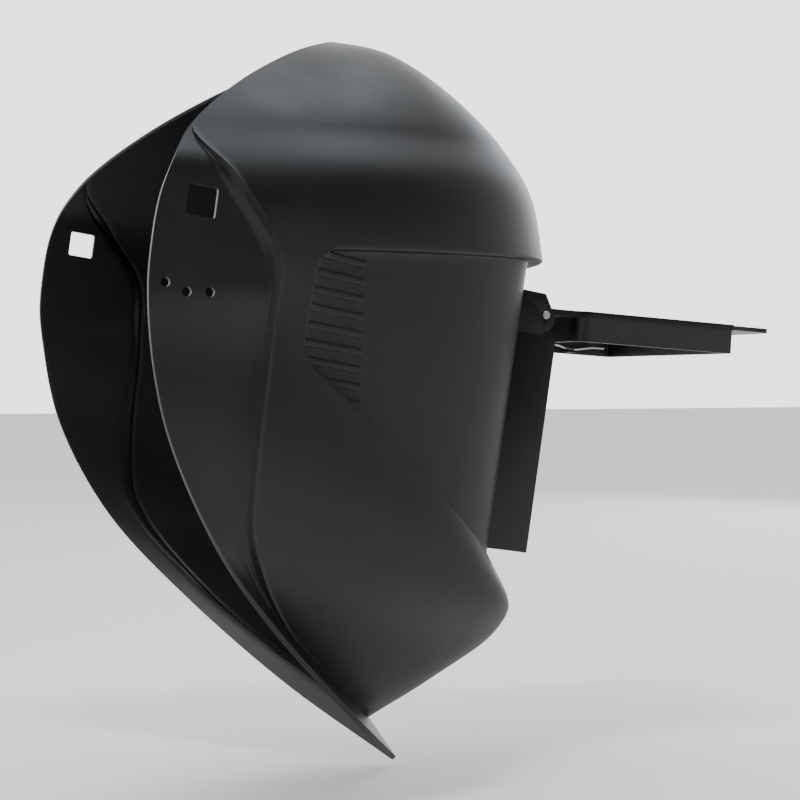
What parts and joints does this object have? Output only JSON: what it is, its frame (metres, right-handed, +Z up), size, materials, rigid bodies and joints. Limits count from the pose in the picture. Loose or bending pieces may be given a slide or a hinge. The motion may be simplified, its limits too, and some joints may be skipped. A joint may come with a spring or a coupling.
{
  "type": "welding helmet",
  "caption": "Passive welding helmet: moulded shell open at the back, window holder box on the front, and a lift-up front frame that carries the dark filter on a friction hinge.",
  "frame": {"origin": "middle of the axis that joins the two square headgear holes, where the helmet turns on its headgear", "axes": "+X forward, the way the wearer looks; +Y to the wearer's left, along the headgear axis; +Z up"},
  "size_m": [0.3506, 0.2274, 0.3589],
  "materials": {
    "shell_plastic": "fine satin moulded texture, charcoal black",
    "holder_plastic": "satin moulded, black",
    "gasket_rubber": "matt",
    "clear_plate": "clear polycarbonate",
    "filter_glass": "very dark green filter, polished",
    "zinc_steel": "zinc plated",
    "spring_wire": "drawn spring wire"
  },
  "bodies": {
    "helmet": {"helmet_shell": "shell_plastic", "lens_holder_box": "holder_plastic", "inner_plate_frame": "holder_plastic", "inner_plate_gasket": "gasket_rubber", "clear_safety_plate": "clear_plate", "inner_plate_spring": "spring_wire", "holder_screw_1": "zinc_steel", "holder_screw_2": "zinc_steel", "holder_screw_3": "zinc_steel", "holder_screw_4": "zinc_steel", "holder_washer_1": "zinc_steel", "holder_washer_2": "zinc_steel", "holder_washer_3": "zinc_steel", "holder_washer_4": "zinc_steel", "holder_nut_1": "zinc_steel", "holder_nut_2": "zinc_steel", "holder_nut_3": "zinc_steel", "holder_nut_4": "zinc_steel", "hinge_pin": "zinc_steel", "friction_washer_right": "zinc_steel", "friction_washer_left": "zinc_steel"},
    "lift_front": {"lift_front_frame": "holder_plastic", "filter_gasket": "gasket_rubber", "outer_cover_plate": "clear_plate", "dark_filter_plate": "filter_glass", "filter_spring_right": "spring_wire", "filter_spring_left": "spring_wire"}
  },
  "joints": [
    {"name": "lift_front_hinge", "type": "hinge", "parent": "helmet", "child": "lift_front", "pos_m": [0.18848, 0, -0.04074], "axis": [0, 1, 0], "range_deg": [0, 95.6]}
  ]
}
